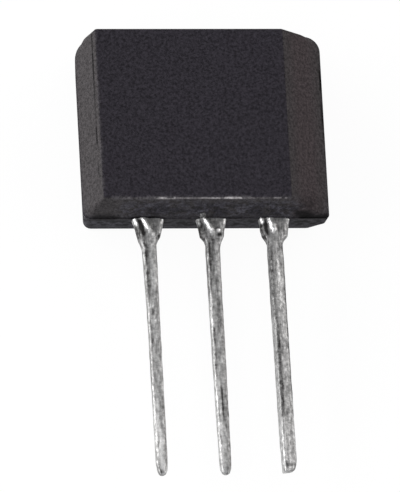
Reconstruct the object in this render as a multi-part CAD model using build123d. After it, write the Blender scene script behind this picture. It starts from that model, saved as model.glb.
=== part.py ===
from build123d import *
import math
import os

# A thyristor in a moulded three-lead single in-line package, lying on its back.
# X runs across the leads, +Y points away from them, +Z is the side that faces the viewer.
# The origin is the middle of the flat back face. Lengths are in millimetres, angles in degrees.

# moulded body: two halves that meet at the parting plane, the front one set back by a small step
body_width = 9.90
body_height = 7.75
front_depth = 1.62
back_depth = 1.60
parting_step = 0.02
left_lean = 0.60
index_bevel = 1.70
end_lean = 0.25
back_left_lean = 0.21
back_right_lean = 0.02
heel_height = 0.75
heel_lean = 0.28
back_end_lean = 0.15
top_left_round = 1.03
bottom_left_round = 0.31
top_right_round = 0.67
bottom_right_round = 0.15
heel_corner = 0.55
face_corner = 0.10
front_edge_round = 0.08
waist_depth_share = 0.35
waist_round_share = 0.45
back_edge_round = 0.11

# leads, from the bond posts inside the resin to the cut tips
lead_pitch = 2.54
lead_row_offset = 0.21
lead_thickness = 0.48
lead_width = 0.50
lead_edge_round = 0.12
shoulder_width = 1.15
shoulder_end_width = 0.95
shoulder_length = 0.71
neck_length = 0.34
neck_steps = 4
twist_length = 0.60
tip_length = 0.22
tip_share = 0.62
lead_embed = 0.35
cathode_reach = 10.74
anode_reach = 10.74
gate_reach = 10.65
cathode_twist = -4
anode_twist = 0
gate_twist = 12
cathode_lean = 0.15
anode_lean = 0.25
gate_lean = 0.20

# stamped copper inside the resin
post_width = 1.90
post_height = 1.25
post_corner = 0.20
header_gap = 0.60
header_side_cover = 2.20
header_top_cover = 0.85
header_corner = 0.30

# chip, its solder and its bond wires
die_size = 2.50
die_thickness = 0.26
die_mesa = 0.10
solder_thickness = 0.06
solder_border = 0.10
cathode_wire_diameter = 0.30
gate_wire_diameter = 0.20
wire_loop_height = 0.55
wire_foot = 0.20
wire_slope = 0.35
cathode_wire_spacing = 0.62
cathode_bond_share = 0.25
gate_bond_inset = 0.45

# corners of the body's outline at the parting plane and at the seat, in the order that outlines are drawn
outline_rounds = (top_left_round, bottom_left_round, top_right_round, bottom_right_round)
seat_rounds = (top_left_round, bottom_left_round, top_right_round, heel_corner)

# heights of the layers
parting_z = back_depth
front_z = back_depth + front_depth
lead_middle_z = parting_z - lead_thickness / 2
lead_back_z = parting_z - lead_thickness
die_back_z = parting_z + solder_thickness
die_front_z = die_back_z + die_thickness
wire_top_z = die_front_z + wire_loop_height

# places along the leads, going up the body
exit_y = -body_height / 2 + parting_step
root_y = exit_y + lead_embed
post_top_y = root_y + post_height
header_bottom_y = post_top_y + header_gap
header_top_y = body_height / 2 - header_top_cover

# places across the body
anode_x = lead_row_offset
cathode_x = anode_x - lead_pitch
gate_x = anode_x + lead_pitch
header_width = body_width - 2 * header_side_cover
header_y = (header_bottom_y + header_top_y) / 2


def rounded_outline(left, right, half_height, rounds, z):
    outline = Pos((left + right) / 2, 0) * Rectangle(right - left, 2 * half_height)
    corners = ((left, half_height), (left, -half_height), (right, half_height), (right, -half_height))
    for corner, radius in zip(corners, rounds):
        outline = fillet(outline.vertices().sort_by_distance(corner)[0], radius)
    return Pos(0, 0, z) * outline


def front_level(depth_share, round_share):
    # an outline of the front half, its slopes and its corners taken by their shares
    half_width = body_width / 2 - parting_step
    half_height = body_height / 2 - parting_step
    return rounded_outline(
        left_lean * depth_share - half_width,
        half_width - index_bevel * depth_share,
        half_height - end_lean * depth_share,
        [face_corner + (radius - face_corner) * round_share for radius in outline_rounds],
        parting_z + front_depth * depth_share,
    )


def front_half():
    # a narrow slope on the left, a wide index bevel on the right and plain draft at both ends,
    # with corners that tighten soon after the parting plane
    waist = front_level(waist_depth_share, waist_round_share)
    half = loft([front_level(0, 1), waist, front_level(1, 0)], ruled=True)
    return fillet(half.faces().sort_by(Axis.Z)[-1].edges(), front_edge_round)


def back_level(z, right_lean, rounds):
    # an outline of the back half, drafted on the left and at both ends by its depth
    depth_share = 1 - z / parting_z
    half_width = body_width / 2
    return rounded_outline(
        back_left_lean * depth_share - half_width,
        half_width - right_lean,
        body_height / 2 - back_end_lean * depth_share,
        rounds,
        z,
    )


def back_half():
    # nearly upright on the right, down to a heel that slopes in to the seat
    seat = back_level(0, heel_lean, seat_rounds)
    heel = back_level(heel_height, back_right_lean, outline_rounds)
    half = loft([seat, heel, back_level(parting_z, 0, outline_rounds)], ruled=True)
    return fillet(half.faces().sort_by(Axis.Z)[0].edges(), back_edge_round)


def lead_section(x, y, width, twist=0, size_share=1):
    # a cut across the lead, its corners rounded by the solder coat
    cut = Plane(origin=(x, y, lead_middle_z), x_dir=(1, 0, 0), z_dir=(0, -1, 0))
    outline = RectangleRounded(
        width * size_share, lead_thickness * size_share, lead_edge_round * size_share
    )
    return cut * Rot(0, 0, twist) * outline


def lead_stem(x, reach, twist, lean):
    # everything of one lead that is solder dipped: shoulder, neck, shank and blunt tip
    shoulder_y = exit_y - shoulder_length
    neck_y = shoulder_y - neck_length
    shank_y = neck_y - twist_length
    tip_y = exit_y - reach
    slope = math.tan(math.radians(lean))
    cuts = [lead_section(x, root_y, shoulder_width), lead_section(x, exit_y, shoulder_width)]
    for step in range(neck_steps + 1):
        length_share = step / neck_steps
        width_share = (1 - math.cos(math.pi * length_share)) / 2
        width = shoulder_end_width + (lead_width - shoulder_end_width) * width_share
        cuts.append(lead_section(x, shoulder_y - neck_length * length_share, width))
    for y, size_share in ((shank_y, 1), (tip_y + tip_length, 1), (tip_y, tip_share)):
        along = x + (neck_y - y) * slope
        cuts.append(lead_section(along, y, lead_width, twist, size_share))
    return loft(cuts, ruled=True)


def stamped_plate(outline):
    return Pos(0, 0, lead_back_z) * extrude(outline, lead_thickness)


def bond_post(x):
    post = Pos(x, (root_y + post_top_y) / 2) * RectangleRounded(post_width, post_height, post_corner)
    return stamped_plate(post)


def header():
    # the plate under the chip and the strip that joins it to the middle lead
    plate = Pos(anode_x, header_y) * RectangleRounded(
        header_width, header_top_y - header_bottom_y, header_corner
    )
    strip_top_y = header_bottom_y + header_corner
    strip = Pos(anode_x, (root_y + strip_top_y) / 2) * Rectangle(shoulder_width, strip_top_y - root_y)
    return stamped_plate(plate + strip)


def die_solder():
    size = die_size + 2 * solder_border
    return Pos(anode_x, header_y, parting_z) * extrude(Rectangle(size, size), solder_thickness)


def silicon_die():
    # the rim of the chip is etched away to a slope
    chip = extrude(Rectangle(die_size, die_size), die_thickness)
    chip = chamfer(chip.faces().sort_by(Axis.Z)[-1].edges(), die_mesa)
    return Pos(anode_x, header_y, die_back_z) * chip


def bond_wire(start, end, diameter):
    # up from the chip on a short foot, sloping over, and down onto the post
    span = Vector(*end) - Vector(*start)
    route = Plane(origin=(*start, 0), x_dir=span, z_dir=span.cross(Vector(0, 0, 1)))
    path = route * Polyline(
        (0, die_front_z),
        (0, die_front_z + wire_foot),
        (wire_slope, wire_top_z),
        (span.length - wire_slope, wire_top_z),
        (span.length, parting_z + wire_foot),
        (span.length, parting_z),
    )
    section = Pos(*start, die_front_z) * Circle(diameter / 2)
    return sweep(section, path=path, transition=Transition.RIGHT)


def bond_wires():
    post_y = (root_y + post_top_y) / 2
    wires = {}
    for number, side in ((1, -1), (2, 1)):
        shift = side * cathode_wire_spacing / 2
        start = (anode_x - die_size * cathode_bond_share + shift, header_y)
        end = (cathode_x + shift, post_y)
        wires[f"cathode_wire_{number}"] = bond_wire(start, end, cathode_wire_diameter)
    gate_bond = die_size / 2 - gate_bond_inset
    wires["gate_wire"] = bond_wire(
        (anode_x + gate_bond, header_y - gate_bond), (gate_x, post_y), gate_wire_diameter
    )
    return wires


def build():
    pieces = {
        "cathode_lead": bond_post(cathode_x)
        + lead_stem(cathode_x, cathode_reach, cathode_twist, cathode_lean),
        "anode_lead": header() + lead_stem(anode_x, anode_reach, anode_twist, anode_lean),
        "gate_lead": bond_post(gate_x) + lead_stem(gate_x, gate_reach, gate_twist, gate_lean),
        "die_solder": die_solder(),
        "silicon_die": silicon_die(),
    }
    pieces.update(bond_wires())
    body = back_half() + front_half()
    # the resin fills every space round the pieces that it was moulded over
    for piece in list(pieces.values()):
        body = body - piece
    pieces["moulded_body"] = body
    return pieces


os.makedirs("parts", exist_ok=True)
for name, piece in build().items():
    export_step(piece, f"parts/{name}.step")
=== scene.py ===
import bpy
import bmesh
import math
from mathutils import Matrix, Vector, noise


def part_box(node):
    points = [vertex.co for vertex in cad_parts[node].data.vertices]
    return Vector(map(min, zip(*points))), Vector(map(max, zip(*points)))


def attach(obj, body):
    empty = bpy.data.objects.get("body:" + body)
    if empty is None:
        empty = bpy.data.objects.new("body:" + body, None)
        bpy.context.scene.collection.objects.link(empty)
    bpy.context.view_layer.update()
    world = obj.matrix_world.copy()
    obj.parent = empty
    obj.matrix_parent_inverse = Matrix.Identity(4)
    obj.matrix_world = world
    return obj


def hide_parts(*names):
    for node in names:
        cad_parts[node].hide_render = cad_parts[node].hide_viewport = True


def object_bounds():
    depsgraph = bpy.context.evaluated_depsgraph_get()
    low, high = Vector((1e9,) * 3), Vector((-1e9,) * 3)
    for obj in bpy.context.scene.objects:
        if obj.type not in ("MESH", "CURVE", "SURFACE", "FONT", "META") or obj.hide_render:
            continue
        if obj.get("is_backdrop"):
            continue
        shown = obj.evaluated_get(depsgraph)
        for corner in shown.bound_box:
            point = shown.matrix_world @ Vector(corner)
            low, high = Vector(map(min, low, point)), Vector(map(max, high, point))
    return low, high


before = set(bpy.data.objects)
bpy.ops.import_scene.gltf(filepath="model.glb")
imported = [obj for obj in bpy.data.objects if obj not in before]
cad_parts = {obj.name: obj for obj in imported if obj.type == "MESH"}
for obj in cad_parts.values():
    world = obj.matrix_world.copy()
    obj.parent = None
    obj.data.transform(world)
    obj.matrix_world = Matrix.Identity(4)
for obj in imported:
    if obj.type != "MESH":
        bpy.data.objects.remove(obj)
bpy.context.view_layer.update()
mm = 0.001
print("frame loaded,", len(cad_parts), "nodes")


def linear(hexColour):
    parts = [int(hexColour[i:i + 2], 16) / 255 for i in (1, 3, 5)]
    return [c / 12.92 if c <= 0.04045 else ((c + 0.055) / 1.055) ** 2.4 for c in parts] + [1.0]


def clamped(value):
    return min(1, max(0, value))


def addNode(tree, kind, settings={}, links={}):
    # settings go to the node's own options, or else to its sockets
    node = tree.nodes.new("ShaderNode" + kind)
    for name, value in settings.items():
        if isinstance(name, str) and hasattr(node, name):
            setattr(node, name, value)
        else:
            node.inputs[name].default_value = value
    for name, socket in links.items():
        tree.links.new(socket, node.inputs[name])
    return node


def emptyMaterial(name):
    material = bpy.data.materials.new(name)
    material.use_nodes = True
    material.node_tree.nodes.clear()
    return material, material.node_tree


# camera: the package seen a little from the left and from below its lead end
view = {
    "turn": 8.6713,              # degrees about the package's long axis
    "fromBelow": 20.0,           # degrees towards the lead end
    "roll": -3.159,
    "pixelsPerMm": 25.1436,
    "imageHeight": 492,
    "lens": 1000,                # long, so that edges stay parallel as in the photograph
    "aim": (-0.2687, -5.2869),   # image centre from the middle of the front face, right and up, mm
}


def placeCamera():
    bodyLow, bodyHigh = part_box("moulded_body")
    turn = (Matrix.Rotation(-math.radians(view["turn"]), 3, "Y")
            @ Matrix.Rotation(math.radians(view["fromBelow"]), 3, "X")
            @ Matrix.Rotation(math.radians(view["roll"]), 3, "Z"))
    camera = bpy.data.objects.new("camera", bpy.data.cameras.new("camera"))
    bpy.context.scene.collection.objects.link(camera)
    camera.data.lens = view["lens"]
    halfHeight = view["imageHeight"] / view["pixelsPerMm"] / 2 * mm
    distance = halfHeight * view["lens"] / (camera.data.sensor_width / 2)
    across, up = view["aim"]
    target = Vector((0, 0, bodyHigh.z)) + turn @ Vector((across * mm, up * mm, 0))
    camera.matrix_world = Matrix.Translation(target + turn @ Vector((0, 0, distance))) @ turn.to_4x4()
    bpy.context.scene.camera = camera


placeCamera()
print("camera placed")


# epoxy moulding compound, cast against a spark-eroded tool: near black, dull, with a fine
# even grain, paler where the sharp edges have rubbed and catch painted highlights, with painted shade along
# the parting line, in the corners and on the back half, and its slopes painted paler for the light they
# catch
epoxy = {
    "face": "#28262b",
    "wall": "#343233",           # painted light: the slopes are paler for the light they catch from the side
    "slope": (0.98, 0.80),       # upward part of the normal, on the flat face and on a full slope
    "grain": 0.07,               # mm, width of one pit of the tool's texture
    "pitDepth": 0.012,           # mm
    "bump": 0.35,
    "speckle": 0.12,             # mm, filler showing as faint paler and darker spots
    "spots": (0.38, 0.62),       # noise at the darkest and at the palest spots
    "mottle": 0.53,              # how far the spots go from the colour, as a share of it
    "roughness": 0.60,
    "ior": 1.55,
    "specular": 0.02,            # the pits swallow most of the shine
    "markCore": 0.3,             # share of a mark's half width that has its full strength
    "breaks": (0.40, 0.58),      # noise where a broken mark is gone and where it is whole
    # rubs with their painted highlights, painted light and shade, and dark lines, mm: from, to, half width,
    # colour, strength, length of a broken stretch (0 where the mark is whole)
    "marks": {
        # painted light: a warm brown tint on the bevel stands in for warm light falling on it from the
        # right
        "painted warm light on the bevel": ((4.05, 3.30, 2.45), (4.05, -3.30, 2.45), 1.20, "#3a3234", 0.6, 0),
        # painted shade: the back half, turned down and away from the lamps, is given a tone of its own
        "painted shade, back half": ((-4.90, -3.80, 0.72), (4.90, -3.80, 0.72), 1.25, "#37363b", 0.92, 0),
        # painted light: the lower slope is painted bluer and patchy, for the light that falls on it
        "painted light, lower slope": ((-2.90, -3.73, 2.35), (3.00, -3.73, 2.35), 0.95, "#3c3b41", 0.9, 0.24),
        "spots, lower slope": ((-2.40, -3.73, 2.30), (4.20, -3.75, 2.20), 0.85, "#0e0d10", 0.56, 0.28),
        # painted shade: patchy darkening of the back half
        "painted shade patches, back half": ((-4.70, -3.80, 0.95), (4.70, -3.80, 0.95), 0.85, "#09080a", 0.9, 0.26),
        # partly wear, partly painted highlight: the lower front edge is rubbed, and its bright dashes are
        # painted in for the light the rounded edge catches
        "worn lower edge and its painted highlight": ((-3.90, -3.61, 3.20), (3.10, -3.61, 3.20), 0.15, "#434144", 0.75, 0.5),
        "rub and painted highlight, far left": ((-3.60, -3.62, 3.21), (-2.40, -3.62, 3.21), 0.07, "#5c5a5c", 0.7, 0.18),
        "rub and painted highlight, left": ((-2.22, -3.62, 3.21), (-1.48, -3.62, 3.21), 0.085, "#a8a5a6", 1.0, 0.22),
        "rub and painted highlight, all the rest": ((-1.40, -3.62, 3.21), (3.00, -3.62, 3.21), 0.07, "#747173", 0.85, 0.22),
        "rub and painted highlight, middle": ((-0.38, -3.62, 3.21), (0.34, -3.62, 3.21), 0.075, "#8e8b8d", 0.8, 0),
        "rub and painted highlight, right": ((0.56, -3.62, 3.21), (1.18, -3.62, 3.21), 0.08, "#a5a2a3", 0.95, 0),
        # partly wear, partly painted highlight: a paler line along the rubbed left front edge
        "rubbed left edge and its painted highlight": ((-4.32, 3.45, 3.21), (-4.30, -3.10, 3.21), 0.10, "#353336", 0.9, 0.6),
        # a dark line painted along the wall beside that edge
        "dark line beside it": ((-4.43, 3.50, 2.97), (-4.43, -3.20, 2.97), 0.085, "#070607", 0.85, 0.8),
        # painted shade: a dark line along the right edge, turned away from the light
        "painted shade at the right edge": ((4.90, 3.10, 1.64), (4.90, -2.60, 1.64), 0.10, "#050505", 0.9, 0.9),
        # painted shade along the top edge of the bevel, which turns away from the light
        "painted shade on the bevel's top": ((3.30, 3.62, 3.16), (4.70, 3.72, 1.86), 0.12, "#050505", 0.8, 0),
        # painted shade in the left corner at the parting line
        "painted shade, left corner": ((-4.36, -3.84, 1.62), (-3.80, -3.84, 1.58), 0.44, "#060506", 0.75, 0),
        # painted shadow in the gap above the left lead's shoulder
        "painted shadow above the left lead": ((-2.95, -3.84, 1.60), (-2.10, -3.84, 1.64), 0.22, "#050505", 0.8, 0),
        # painted shade in the step of the parting line
        "painted shade in the parting line": ((-4.20, -3.855, 1.60), (4.80, -3.855, 1.60), 0.16, "#080708", 0.6, 0.30),
        # painted shade in the right corner at the parting line, and from there to the edge
        "painted shade, right corner": ((3.74, -3.80, 1.94), (3.95, -3.82, 1.86), 0.40, "#080708", 0.8, 0),
        "painted shade from it to the edge": ((3.90, -3.84, 1.68), (4.82, -3.85, 1.64), 0.26, "#050505", 0.8, 0),
        # a dark line painted along the lowest part of the back edge
        "dark line, back edge": ((-4.55, -3.73, 0.06), (-3.10, -3.73, 0.06), 0.28, "#050505", 0.75, 0),
    },
}


def mouldedEpoxy():
    material, tree = emptyMaterial("moulded_epoxy")
    coords = addNode(tree, "TexCoord").outputs["Object"]
    grain = addNode(tree, "TexNoise", {"Scale": 1 / (epoxy["grain"] * mm), "Detail": 2.0},
                    {"Vector": coords})
    speckle = addNode(tree, "TexNoise",
                      {"Scale": 1 / (epoxy["speckle"] * mm), "Detail": 4.0, "Roughness": 0.9},
                      {"Vector": coords})
    darkest, palest = epoxy["spots"]
    spots = addNode(tree, "MapRange", {"From Min": darkest, "From Max": palest,
                                       "To Min": 1 - epoxy["mottle"], "To Max": 1 + epoxy["mottle"]},
                    {"Value": speckle.outputs["Fac"]}).outputs[0]
    # painted light: the more a surface turns from the flat face, the more of the paler wall colour it gets
    normal = addNode(tree, "NewGeometry").outputs["Normal"]
    upward = addNode(tree, "SeparateXYZ", {}, {0: normal}).outputs["Z"]
    flat, steep = epoxy["slope"]
    paintedSlopeLight = addNode(tree, "MapRange", {"From Min": flat, "From Max": steep}, {"Value": upward}).outputs[0]
    colour = addNode(tree, "Mix", {"data_type": "RGBA", 6: linear(epoxy["face"]), 7: linear(epoxy["wall"])},
                     {0: paintedSlopeLight}).outputs[2]
    gone, whole = epoxy["breaks"]
    for start, end, halfWidth, tint, strength, stretch in epoxy["marks"].values():
        # distance from the line between the two ends
        along = (Vector(end) - Vector(start)) * mm
        fromStart = addNode(tree, "VectorMath", {"operation": "SUBTRACT", 1: Vector(start) * mm},
                            {0: coords}).outputs[0]
        run = addNode(tree, "VectorMath", {"operation": "DOT_PRODUCT", 1: along},
                      {0: fromStart}).outputs["Value"]
        share = addNode(tree, "Math", {"operation": "DIVIDE", "use_clamp": True, 1: along.length_squared},
                        {0: run}).outputs[0]
        nearest = addNode(tree, "VectorMath", {"operation": "SCALE", 0: along}, {"Scale": share}).outputs[0]
        away = addNode(tree, "VectorMath", {"operation": "DISTANCE"},
                       {0: fromStart, 1: nearest}).outputs["Value"]
        near = addNode(tree, "MapRange", {"From Min": halfWidth * mm,
                                          "From Max": halfWidth * epoxy["markCore"] * mm,
                                          "To Max": strength}, {"Value": away}).outputs[0]
        if stretch:
            patch = addNode(tree, "TexNoise", {"Scale": 1 / (stretch * mm), "Detail": 3.0},
                            {"Vector": coords})
            broken = addNode(tree, "MapRange", {"From Min": gone, "From Max": whole},
                             {"Value": patch.outputs["Fac"]}).outputs[0]
            near = addNode(tree, "Math", {"operation": "MULTIPLY"}, {0: near, 1: broken}).outputs[0]
        colour = addNode(tree, "Mix", {"data_type": "RGBA", 7: linear(tint)},
                         {0: near, 6: colour}).outputs[2]
    # the filler scales whatever colour the marks left
    colour = addNode(tree, "VectorMath", {"operation": "SCALE"}, {0: colour, "Scale": spots}).outputs[0]
    bump = addNode(tree, "Bump", {"Strength": epoxy["bump"], "Distance": epoxy["pitDepth"] * mm},
                   {"Height": grain.outputs["Fac"]})
    surface = addNode(tree, "BsdfPrincipled", {"Roughness": epoxy["roughness"], "IOR": epoxy["ior"],
                                               "Specular IOR Level": epoxy["specular"]},
                      {"Base Color": colour, "Normal": bump.outputs[0]})
    addNode(tree, "OutputMaterial", {}, {"Surface": surface.outputs[0]})
    return material


# hot-dipped tin-lead solder: dull grey metal, frosted where it cooled slowly and bright where it
# ran thin, with dark drawn streaks along the leads; the marks painted along each lead are partly tarnish
# and partly painted highlights and painted dark reflections
solder = {
    "dark": "#3b3a3a",
    "middle": "#a0a0a0",
    "bright": "#f3f3f3",
    "frost": 0.13,               # mm, size of the frosted patches
    "streakWidth": 0.09,         # mm
    "streakLength": 0.35,        # mm
    "mottle": 0.8,               # how far the patches go from dark to bright
    "roughness": (0.46, 0.68),   # where it is bright and where it is dull
    "roughTones": (0.9, 0.2),    # tones that count as bright and as dull
    "bump": 0.7,
    "coatDepth": 0.03,           # mm
}


def dippedSolder():
    material, tree = emptyMaterial("hot_dipped_solder")
    coords = addNode(tree, "TexCoord").outputs["Object"]
    stretch = addNode(tree, "Mapping", {"Scale": (1, solder["streakWidth"] / solder["streakLength"], 1)},
                      {"Vector": coords})
    streak = addNode(tree, "TexNoise", {"Scale": 1 / (solder["streakWidth"] * mm), "Detail": 2.0},
                     {"Vector": stretch.outputs[0]}).outputs["Fac"]
    frost = addNode(tree, "TexNoise",
                    {"Scale": 1 / (solder["frost"] * mm), "Detail": 3.0, "Roughness": 0.6},
                    {"Vector": coords}).outputs["Fac"]
    # per-point marks that darken or brighten the solder: partly tarnish, partly painted highlight and
    # painted reflection
    tarnishAndPaintedLight = addNode(tree, "Attribute", {"attribute_name": "tarnishAndPaintedLight"}).outputs["Fac"]
    both = addNode(tree, "Math", {"operation": "ADD"}, {0: streak, 1: frost}).outputs[0]
    patches = addNode(tree, "MapRange", {"clamp": False, "From Min": 0.5, "From Max": 1.5,
                                         "To Min": 0.5 - solder["mottle"] / 2,
                                         "To Max": 0.5 + solder["mottle"] / 2}, {"Value": both}).outputs[0]
    tone = addNode(tree, "Math", {"operation": "SUBTRACT", "use_clamp": True},
                   {0: patches, 1: tarnishAndPaintedLight}).outputs[0]
    low = addNode(tree, "MapRange", {"From Min": 0.0, "From Max": 0.5}, {"Value": tone}).outputs[0]
    high = addNode(tree, "MapRange", {"From Min": 0.5, "From Max": 1.0}, {"Value": tone}).outputs[0]
    grey = addNode(tree, "Mix",
                   {"data_type": "RGBA", 6: linear(solder["dark"]), 7: linear(solder["middle"])},
                   {0: low}).outputs[2]
    colour = addNode(tree, "Mix", {"data_type": "RGBA", 7: linear(solder["bright"])},
                     {0: high, 6: grey}).outputs[2]
    smooth, dull = solder["roughness"]
    smoothTone, dullTone = solder["roughTones"]
    rough = addNode(tree, "MapRange", {"From Min": dullTone, "From Max": smoothTone,
                                       "To Min": dull, "To Max": smooth}, {"Value": tone}).outputs[0]
    bump = addNode(tree, "Bump", {"Strength": solder["bump"], "Distance": solder["coatDepth"] * mm},
                   {"Height": both})
    surface = addNode(tree, "BsdfPrincipled", {"Metallic": 1.0},
                      {"Base Color": colour, "Roughness": rough, "Normal": bump.outputs[0]})
    addNode(tree, "OutputMaterial", {}, {"Surface": surface.outputs[0]})
    return material


# inner metals and the chip, closed in by the resin: each has its own fine mottle, patch in mm
inside = {
    # rolled strip, warm with a soft shine
    "rolled_copper": {
        "colours": ("#a8643f", "#c98a63"), "patch": 0.20, "metallic": 1.0, "roughness": 0.34,
    },
    # melted under the chip, pale and dull
    "chip_solder": {
        "colours": ("#8d8c8a", "#b3b1ae"), "patch": 0.12, "metallic": 1.0, "roughness": 0.42,
    },
    # lapped and polished, dark and nearly a mirror
    "polished_silicon": {
        "colours": ("#33343a", "#4b4c54"), "patch": 0.60, "metallic": 0.6, "roughness": 0.16,
    },
    # drawn wire, pale and bright
    "drawn_aluminium": {
        "colours": ("#b9babd", "#d9dadc"), "patch": 0.08, "metallic": 1.0, "roughness": 0.28,
    },
}


def insideMaterial(name):
    values = inside[name]
    material, tree = emptyMaterial(name)
    coords = addNode(tree, "TexCoord").outputs["Object"]
    patch = addNode(tree, "TexNoise", {"Scale": 1 / (values["patch"] * mm), "Detail": 3.0},
                    {"Vector": coords})
    first, second = values["colours"]
    colour = addNode(tree, "Mix", {"data_type": "RGBA", 6: linear(first), 7: linear(second)},
                     {0: patch.outputs["Fac"]}).outputs[2]
    surface = addNode(tree, "BsdfPrincipled",
                      {"Metallic": values["metallic"], "Roughness": values["roughness"]},
                      {"Base Color": colour})
    addNode(tree, "OutputMaterial", {}, {"Surface": surface.outputs[0]})
    return material


solderMaterial = dippedSolder()
copperMaterial = insideMaterial("rolled_copper")
wireMaterial = insideMaterial("drawn_aluminium")
nodeMaterials = {
    "moulded_body": mouldedEpoxy(),
    "cathode_lead": copperMaterial,
    "anode_lead": copperMaterial,
    "gate_lead": copperMaterial,
    "die_solder": insideMaterial("chip_solder"),
    "silicon_die": insideMaterial("polished_silicon"),
    "cathode_wire_1": wireMaterial,
    "cathode_wire_2": wireMaterial,
    "gate_wire": wireMaterial,
}
for nodeName, material in nodeMaterials.items():
    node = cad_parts[nodeName]
    for index in range(len(node.material_slots)):
        node.material_slots[index].link = "DATA"
        node.material_slots[index].material = material
print("materials made for", len(nodeMaterials), "nodes")


# coat that all leads share: solder on a stamped strip, wavy, and thick at the shoulder, mm
coat = {
    "around": 88,                # points round a lead
    "shoulderStep": 0.035,       # between rings, also at the tip
    "shankStep": 0.09,
    "shoulderEnd": 1.45,         # below the wall
    "softEnd": 1.4,              # rings above this flow into each other
    "tipLength": 0.4,
    "cutY": -3.82,               # just inside the wall that the leads leave
    "exitY": -3.825,
    "middleZ": 1.36,
    "leanStart": 1.1,            # below the wall
    "twistStart": 1.08,          # below the wall
    "twistLength": 0.6,
    "slantLength": 0.5,          # above the end, where the cut tip starts to slope
    "flank": -0.6,               # sine of the angle round the lead where its streaks stop
    "fade": (0.2, 0.1),          # length of a mark's soft end, and the share of the mark added to it
    "wave": 0.010,               # height
    "waveLength": 0.50,
    "ripple": 0.006,             # height
    "rippleLength": 0.17,
    "merge": 1e-4,               # points of the strip closer than this are one
    "onCut": 1e-5,               # points closer than this lie on the cut
}
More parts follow.
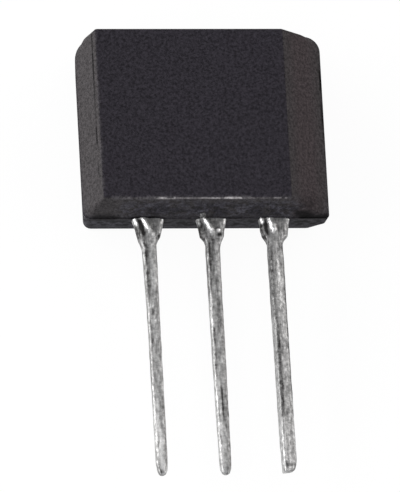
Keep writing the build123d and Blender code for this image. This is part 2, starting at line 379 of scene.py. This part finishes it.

# turn at the shank and lean sideways in degrees, slope of the cut tip in mm
# rings, mm: below the wall, width, thickness, squareness, sideways shift
# streaks: from and to, mm below the wall, place across at each end (-1 left edge, 1 right edge),
# half width across, darkness (negative where the solder is bright); they are partly tarnish and partly
# painted highlights and reflections
# runs that stand proud of the shoulder: the same, but with a height in mm
leads = {
    "cathode_lead": {
        "turn": -4,
        "lean": 0.15,
        "tipSlope": 0.0,
        "rings": [
            (-0.005, 1.25, 0.50, 5.0, 0.00), (0.06, 1.25, 0.51, 4.5, 0.00), (0.25, 1.17, 0.52, 2.8, 0.01),
            (0.49, 1.05, 0.52, 2.8, 0.01), (0.74, 0.93, 0.52, 2.8, 0.00), (0.91, 0.78, 0.51, 3.0, -0.03),
            (1.08, 0.64, 0.51, 3.0, -0.03), (1.29, 0.59, 0.50, 3.0, 0.00), (2.00, 0.57, 0.49, 3.2, 0.01),
            (3.40, 0.52, 0.48, 3.2, 0.02), (5.50, 0.495, 0.48, 3.2, 0.02), (7.65, 0.485, 0.475, 3.2, 0.02),
            (9.60, 0.48, 0.47, 3.2, 0.02), (10.30, 0.475, 0.46, 3.0, 0.02), (10.58, 0.40, 0.42, 2.8, 0.03),
            (10.72, 0.29, 0.33, 2.6, 0.02), (10.775, 0.15, 0.18, 2.2, 0.01),
        ],
        "streaks": [
            (0.00, 0.30, -0.88, -0.88, 0.20, -0.45), (0.08, 0.75, -0.62, -0.48, 0.26, 0.80),
            (0.02, 0.58, -0.42, 0.02, 0.20, -0.70), (0.00, 0.70, 0.40, 0.40, 0.50, 0.10),
            (0.00, 0.25, 0.92, 0.92, 0.14, -0.40), (0.64, 0.82, 0.34, 0.34, 0.26, -0.75),
            (0.66, 0.86, 0.90, 0.90, 0.30, 0.55), (0.90, 1.20, -0.75, -0.75, 0.25, -0.12),
            (0.90, 3.30, -0.38, -0.38, 0.34, 0.30), (1.10, 3.20, 0.42, 0.42, 0.35, -0.15),
            (2.90, 8.00, 0.66, 0.66, 0.34, 0.12), (3.60, 3.75, -0.05, -0.05, 0.30, -0.45),
            (3.85, 4.15, -0.10, -0.10, 0.30, 0.25), (4.30, 4.45, 0.25, 0.25, 0.30, -0.45),
            (4.60, 5.40, -0.40, -0.40, 0.35, 0.25), (7.40, 10.40, -0.62, -0.62, 0.30, 0.05),
            (7.60, 10.40, -0.22, -0.12, 0.35, -0.26), (9.00, 10.60, 0.10, 0.20, 0.55, -0.30),
            (7.60, 10.40, 0.75, 0.75, 0.25, 0.15), (10.50, 10.80, -0.70, -0.20, 0.40, 0.40),
            (9.50, 10.50, -0.30, -0.25, 0.35, -0.14), (9.90, 10.80, -1.00, -0.95, 0.30, 0.22),
            (0.30, 0.95, -0.95, -0.95, 0.35, 0.45), (1.00, 7.40, -0.98, -0.98, 0.36, 0.18),
            (0.90, 3.30, -0.60, -0.60, 0.28, 0.36), (3.30, 7.40, -0.60, -0.60, 0.28, 0.17),
        ],
        "runs": [(-0.05, 0.62, -0.38, 0.08, 0.32, 0.11), (-0.05, 0.30, -0.95, -0.85, 0.25, 0.04)],
    },
    "anode_lead": {
        "turn": 0,
        "lean": 0.25,
        "tipSlope": 0.0,
        "rings": [
            (-0.005, 1.20, 0.50, 5.0, 0.00), (0.06, 1.20, 0.51, 4.5, 0.00), (0.25, 1.13, 0.52, 2.8, 0.00),
            (0.49, 1.03, 0.52, 2.8, 0.00), (0.74, 0.97, 0.52, 2.8, 0.00), (0.91, 0.74, 0.51, 3.0, 0.03),
            (1.08, 0.61, 0.51, 3.0, 0.03), (1.29, 0.585, 0.50, 3.0, 0.01), (2.00, 0.57, 0.49, 3.2, 0.00),
            (3.40, 0.55, 0.48, 3.2, 0.00), (5.50, 0.54, 0.48, 3.2, 0.00), (7.65, 0.51, 0.475, 3.2, 0.00),
            (9.40, 0.48, 0.47, 3.2, 0.00), (10.25, 0.47, 0.46, 3.0, 0.00), (10.55, 0.42, 0.42, 2.8, 0.00),
            (10.69, 0.31, 0.33, 2.6, 0.00), (10.75, 0.15, 0.18, 2.2, 0.00),
        ],
        "streaks": [
            (0.05, 0.58, -0.50, -0.04, 0.18, -0.70), (0.00, 0.80, -0.78, -0.55, 0.26, 0.28),
            (0.00, 0.35, 0.90, 0.90, 0.14, -0.40), (0.45, 0.60, 0.48, 0.48, 0.22, -0.80),
            (0.64, 0.80, 0.58, 0.58, 0.30, 0.80), (0.05, 0.70, 0.20, 0.30, 0.35, 0.10),
            (0.90, 2.60, -0.25, -0.25, 0.55, 0.28), (2.50, 3.20, 0.15, 0.15, 0.35, 0.22),
            (3.30, 4.70, -0.75, -0.68, 0.42, -0.04), (3.30, 4.70, 0.35, 0.35, 0.55, 0.18),
            (6.80, 10.50, -0.45, -0.40, 0.50, -0.14), (3.20, 10.70, 0.40, 0.40, 1.60, 0.05),
            (0.90, 10.50, 1.00, 1.00, 0.55, 0.12), (7.15, 8.50, 0.00, 0.05, 0.22, 0.65),
            (7.00, 10.50, 0.60, 0.60, 0.35, 0.10), (8.50, 10.60, -0.15, -0.10, 0.50, -0.14),
            (10.45, 10.80, 0.30, 0.40, 0.40, 0.30), (0.25, 0.95, -0.95, -0.95, 0.35, 0.45),
            (1.00, 3.40, -1.00, -1.00, 0.34, 0.28), (3.40, 6.80, -1.00, -1.00, 0.34, 0.10),
            (0.90, 3.20, -0.60, -0.60, 0.28, 0.34), (4.70, 6.80, -0.60, -0.60, 0.28, 0.32),
            (3.20, 4.70, -0.60, -0.60, 0.24, 0.12), (6.80, 10.50, -0.62, -0.62, 0.24, 0.14),
        ],
        "runs": [(0.00, 0.62, -0.46, 0.02, 0.30, 0.10), (0.44, 0.60, 0.48, 0.48, 0.24, 0.045)],
        # solder that splashed onto the wall above, mm
        "splash": {
            "place": (-0.17, -3.81, 1.80),
            "size": (0.13, 0.07, 0.24),
            "tarnishAndPaintedLight": 0.30,
            "lumps": 0.35,       # share of the size
            "lumpsPerSize": 1.3,
            "lumpsFrom": (3.1, 0, 0),
        },
    },
    "gate_lead": {
        "turn": 12,
        "lean": 0.20,
        "tipSlope": 0.045,
        "rings": [
            (-0.005, 1.22, 0.50, 5.0, 0.00), (0.06, 1.22, 0.51, 4.5, 0.00), (0.25, 1.18, 0.52, 2.8, -0.01),
            (0.49, 1.12, 0.52, 2.8, -0.02), (0.74, 1.03, 0.52, 2.8, -0.01), (0.91, 0.76, 0.51, 3.0, -0.02),
            (1.08, 0.62, 0.51, 3.4, -0.02), (1.29, 0.60, 0.50, 4.0, -0.03), (2.00, 0.595, 0.49, 4.5, -0.02),
            (3.40, 0.58, 0.48, 4.5, -0.02), (5.50, 0.58, 0.48, 4.5, -0.01), (7.65, 0.58, 0.475, 4.5, 0.00),
            (9.60, 0.57, 0.47, 4.5, 0.01), (10.20, 0.56, 0.46, 4.5, 0.02), (10.45, 0.52, 0.44, 4.5, 0.01),
            (10.60, 0.48, 0.41, 4.5, -0.01), (10.65, 0.44, 0.37, 4.0, -0.02),
        ],
        "streaks": [
            (-0.05, 0.22, -0.90, -0.80, 0.22, -0.90), (0.10, 0.72, -0.66, -0.60, 0.22, 0.80),
            (0.00, 0.56, -0.40, -0.08, 0.20, -0.65), (0.25, 0.58, -0.18, -0.08, 0.24, -0.60),
            (0.00, 0.75, 0.45, 0.45, 0.45, 0.08), (0.00, 0.12, 0.92, 0.92, 0.14, -0.45),
            (0.90, 4.30, -0.78, -0.78, 0.32, 0.08), (2.00, 3.40, 0.05, 0.05, 0.35, -0.18),
            (0.90, 7.50, 0.94, 0.94, 0.34, 0.42), (0.90, 10.40, 0.15, 0.15, 0.40, -0.07),
            (4.30, 8.50, -0.58, -0.52, 0.30, 0.30), (4.60, 8.60, -0.85, -0.80, 0.36, 0.14),
            (8.40, 10.45, -0.62, -0.60, 0.30, -0.24), (4.40, 8.60, -0.84, -0.80, 0.20, 0.14),
            (8.50, 10.60, -0.20, 0.00, 0.55, -0.10), (10.30, 10.60, -0.70, -0.50, 0.30, 0.40),
            (10.36, 10.48, 0.10, 0.10, 0.90, 0.35), (10.50, 10.62, -0.10, -0.10, 0.70, -0.20),
            (10.50, 10.70, 0.80, 0.80, 0.30, 0.30), (0.20, 0.95, -0.95, -0.95, 0.35, 0.45),
            (1.00, 4.30, -0.95, -0.95, 0.40, 0.26), (0.90, 10.60, 0.00, 0.00, 1.80, 0.06),
        ],
        "runs": [(-0.05, 0.62, -0.34, -0.02, 0.32, 0.11), (-0.05, 0.22, -0.92, -0.85, 0.25, 0.06)],
    },
}


def ringAt(rings, below):
    for upper, lower in zip(rings, rings[1:]):
        if below <= lower[0]:
            share = (below - upper[0]) / (lower[0] - upper[0])
            if lower[0] < coat["softEnd"]:
                share = share * share * (3 - 2 * share)
            return [a + (b - a) * share for a, b in zip(upper, lower)]
    return list(rings[-1])


def squared(value, squareness):
    # sine or cosine pushed outwards, so that a circle becomes a rounded rectangle
    return math.copysign(abs(value) ** (2 / squareness), value)


def ringPoint(angle, ring, turn, centreX, lean):
    below, width, thickness, squareness, shift = ring
    x = squared(math.cos(angle), squareness) * width / 2
    z = squared(math.sin(angle), squareness) * thickness / 2
    x, z = x * math.cos(turn) + z * math.sin(turn), z * math.cos(turn) - x * math.sin(turn)
    centreX = centreX + shift + max(0, below - coat["leanStart"]) * math.tan(lean)
    return Vector((centreX + x, coat["exitY"] - below, coat["middleZ"] + z))


def drawn(marks, below, across):
    # sum of the marks at one place on a lead, each fading to its ends and sides
    total = 0
    fadeLength, fadeShare = coat["fade"]
    for start, end, acrossStart, acrossEnd, halfWidth, strength in marks:
        fade = min((end - start) / 2, fadeLength + fadeShare * (end - start))
        along = clamped((below - start) / fade + 0.5) * clamped((end - below) / fade + 0.5)
        centre = acrossStart + (acrossEnd - acrossStart) * clamped((below - start) / (end - start))
        aside = min(1, abs(across - centre) / halfWidth)
        total += strength * along * (1 + math.cos(math.pi * aside)) / 2
    return total


def dippedStem(lead, centreX):
    rings = lead["rings"]
    turn, lean = math.radians(lead["turn"]), math.radians(lead["lean"])
    stem = bmesh.new()
    angleOf = stem.verts.layers.float.new("angle")
    tarnishAndPaintedLight = stem.verts.layers.float.new("tarnishAndPaintedLight")
    verts = bmesh.ops.create_circle(stem, segments=coat["around"], radius=1)["verts"]
    for vert in verts:
        vert[angleOf] = math.atan2(vert.co.y, vert.co.x)
    edges = list(stem.edges)
    below, last = rings[0][0], rings[-1][0]
    while True:
        # shape the newest ring, then extrude the next one from it
        ring = ringAt(rings, below)
        squareness = ring[3]
        twisted = turn * clamped((below - coat["twistStart"]) / coat["twistLength"])
        for vert in verts:
            angle = vert[angleOf]
            vert.co = ringPoint(angle, ring, twisted, centreX, lean)
            across = squared(math.cos(angle), squareness)
            vert.co.y += across * lead["tipSlope"] * max(0, 1 - (last - below) / coat["slantLength"])
            # the streaks paint tarnish together with painted highlights and reflections into each point
            if math.sin(angle) > coat["flank"]:
                vert[tarnishAndPaintedLight] = drawn(lead["streaks"], below, across)
            if math.sin(angle) > 0:
                vert.co.z += drawn(lead["runs"], below, across)
        if below >= last:
            break
        fine = below < coat["shoulderEnd"] or below > last - coat["tipLength"]
        below = min(last, below + (coat["shoulderStep"] if fine else coat["shankStep"]))
        made = bmesh.ops.extrude_edge_only(stem, edges=edges)["geom"]
        verts = [part for part in made if isinstance(part, bmesh.types.BMVert)]
        edges = [part for part in made if isinstance(part, bmesh.types.BMEdge) and part.is_boundary]
    bmesh.ops.holes_fill(stem, edges=stem.edges, sides=0)
    bmesh.ops.recalc_face_normals(stem, faces=stem.faces)
    for vert in stem.verts:
        wave = noise.noise(vert.co / coat["waveLength"]) * coat["wave"]
        ripple = noise.noise(vert.co / coat["rippleLength"]) * coat["ripple"]
        vert.co += vert.normal * (wave + ripple)
    stem.verts.layers.float.remove(angleOf)
    return stem


def addSplash(stem, splash):
    tarnishAndPaintedLight = stem.verts.layers.float["tarnishAndPaintedLight"]
    drop = bmesh.ops.create_icosphere(stem, subdivisions=4, radius=1)["verts"]
    for vert in drop:
        vert[tarnishAndPaintedLight] = splash["tarnishAndPaintedLight"]
        place = vert.co * splash["lumpsPerSize"] + Vector(splash["lumpsFrom"])
        vert.co *= 1 + splash["lumps"] * noise.noise(place)
    bmesh.ops.scale(stem, vec=splash["size"], verts=drop)
    bmesh.ops.translate(stem, vec=splash["place"], verts=drop)


def stampedInside(name):
    # the part of the strip that the resin covers, from the solid of the same name
    strip = bmesh.new()
    strip.from_mesh(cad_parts[name].data)
    bmesh.ops.remove_doubles(strip, verts=strip.verts, dist=coat["merge"] * mm)
    bmesh.ops.bisect_plane(strip, geom=strip.verts[:] + strip.edges[:] + strip.faces[:],
                           dist=coat["onCut"] * mm, plane_co=(0, coat["cutY"] * mm, 0),
                           plane_no=(0, 1, 0), clear_inner=True)
    bmesh.ops.holes_fill(strip, edges=strip.edges, sides=0)
    bmesh.ops.recalc_face_normals(strip, faces=strip.faces)
    mesh = bpy.data.meshes.new(name + "_inside")
    strip.to_mesh(mesh)
    strip.free()
    return mesh


def makePiece(name, shape, materials):
    mesh = bpy.data.meshes.new(name)
    shape.to_mesh(mesh)
    shape.free()
    for material in materials:
        mesh.materials.append(material)
    piece = bpy.data.objects.new(name, mesh)
    bpy.context.scene.collection.objects.link(piece)
    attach(piece, "root")
    return piece


for leadName, lead in leads.items():
    low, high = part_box(leadName)
    stem = dippedStem(lead, (low.x + high.x) / 2 / mm)
    if "splash" in lead:
        addSplash(stem, lead["splash"])
    bmesh.ops.scale(stem, vec=(mm, mm, mm), verts=stem.verts)
    for face in stem.faces:
        face.smooth = True
    covered = stampedInside(leadName)
    outside = len(stem.faces)
    stem.from_mesh(covered)
    bpy.data.meshes.remove(covered)
    stem.faces.ensure_lookup_table()
    for face in stem.faces[outside:]:
        face.material_index = 1
    piece = makePiece(leadName + "_dipped", stem, (solderMaterial, copperMaterial))
    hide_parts(leadName)
    print(piece.name, len(piece.data.polygons), "faces")


# studio: white floor, one large soft lamp low on the left, a weaker one on the right and a little
# light from the lead end, m
studio = {
    "floorSize": 6.0,
    "floorCells": 8,
    "paper": ("#f0f0f0", "#f6f6f6"),
    "tooth": 0.0015,             # size of the paper's faint clouds
    "whiteShare": 0.94,          # how much of the floor shows as plain white behind the object
    "skyColour": "#ffffff",
    "skyStrength": 0.48,
    "lampDistance": 0.24,
    "lamps": {
        "left": {"from": (-0.93, 0.20, 0.30), "size": (0.60, 0.14), "level": 0.92, "colour": "#fffefd"},
        "right": {"from": (0.85, 0.25, 0.45), "size": (0.60, 0.16), "level": 0.52, "colour": "#fffcfa"},
        "front": {"from": (-0.35, -0.80, 0.45), "size": (0.40, 0.16), "level": 0.11, "colour": "#f0f3ff"},
    },
}


def whiteFloor():
    # matt white paper: plain white to the eye, with a faint shadow under the object
    material, tree = emptyMaterial("white_paper_floor")
    coords = addNode(tree, "TexCoord").outputs["Object"]
    tooth = addNode(tree, "TexNoise", {"Scale": 1 / studio["tooth"], "Detail": 2.0}, {"Vector": coords})
    first, second = studio["paper"]
    tint = addNode(tree, "Mix", {"data_type": "RGBA", 6: linear(first), 7: linear(second)},
                   {0: tooth.outputs["Fac"]}).outputs[2]
    paper = addNode(tree, "BsdfDiffuse", {}, {"Color": tint})
    white = addNode(tree, "Emission", {"Strength": 1.0})
    rays = addNode(tree, "LightPath").outputs
    seen = rays["Is Camera Ray"]
    for ray in ("Is Glossy Ray", "Is Transmission Ray"):
        seen = addNode(tree, "Math", {"operation": "ADD", "use_clamp": True},
                       {0: seen, 1: rays[ray]}).outputs[0]
    share = addNode(tree, "Math", {"operation": "MULTIPLY", 1: studio["whiteShare"]}, {0: seen}).outputs[0]
    both = addNode(tree, "MixShader", {}, {0: share, 1: paper.outputs[0], 2: white.outputs[0]})
    addNode(tree, "OutputMaterial", {}, {"Surface": both.outputs[0]})
    return material


def lightStudio():
    scene = bpy.context.scene
    shape = bmesh.new()
    bmesh.ops.create_grid(shape, x_segments=studio["floorCells"], y_segments=studio["floorCells"],
                          size=studio["floorSize"] / 2)
    mesh = bpy.data.meshes.new("floor")
    shape.to_mesh(mesh)
    shape.free()
    mesh.materials.append(whiteFloor())
    floor = bpy.data.objects.new("floor", mesh)
    scene.collection.objects.link(floor)
    floor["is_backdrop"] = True
    world = bpy.data.worlds.new("studio")
    scene.world = world
    world.use_nodes = True
    sky = world.node_tree.nodes["Background"]
    sky.inputs["Color"].default_value = linear(studio["skyColour"])
    sky.inputs["Strength"].default_value = studio["skyStrength"]
    for name, lamp in studio["lamps"].items():
        data = bpy.data.lights.new(name + "_lamp", "AREA")
        data.shape = "RECTANGLE"
        data.size, data.size_y = lamp["size"]
        data.color = linear(lamp["colour"])[:3]
        toward = Vector(lamp["from"]).normalized()
        # power that adds the wanted level on a surface that faces up
        data.energy = lamp["level"] * math.pi ** 2 * studio["lampDistance"] ** 2 / toward.z
        light = bpy.data.objects.new(name + "_lamp", data)
        scene.collection.objects.link(light)
        light.location = toward * studio["lampDistance"]
        light.rotation_euler = toward.to_track_quat("Z", "Y").to_euler()
    scene.view_settings.view_transform = "Standard"


lightStudio()
print("studio lit")

low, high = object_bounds()
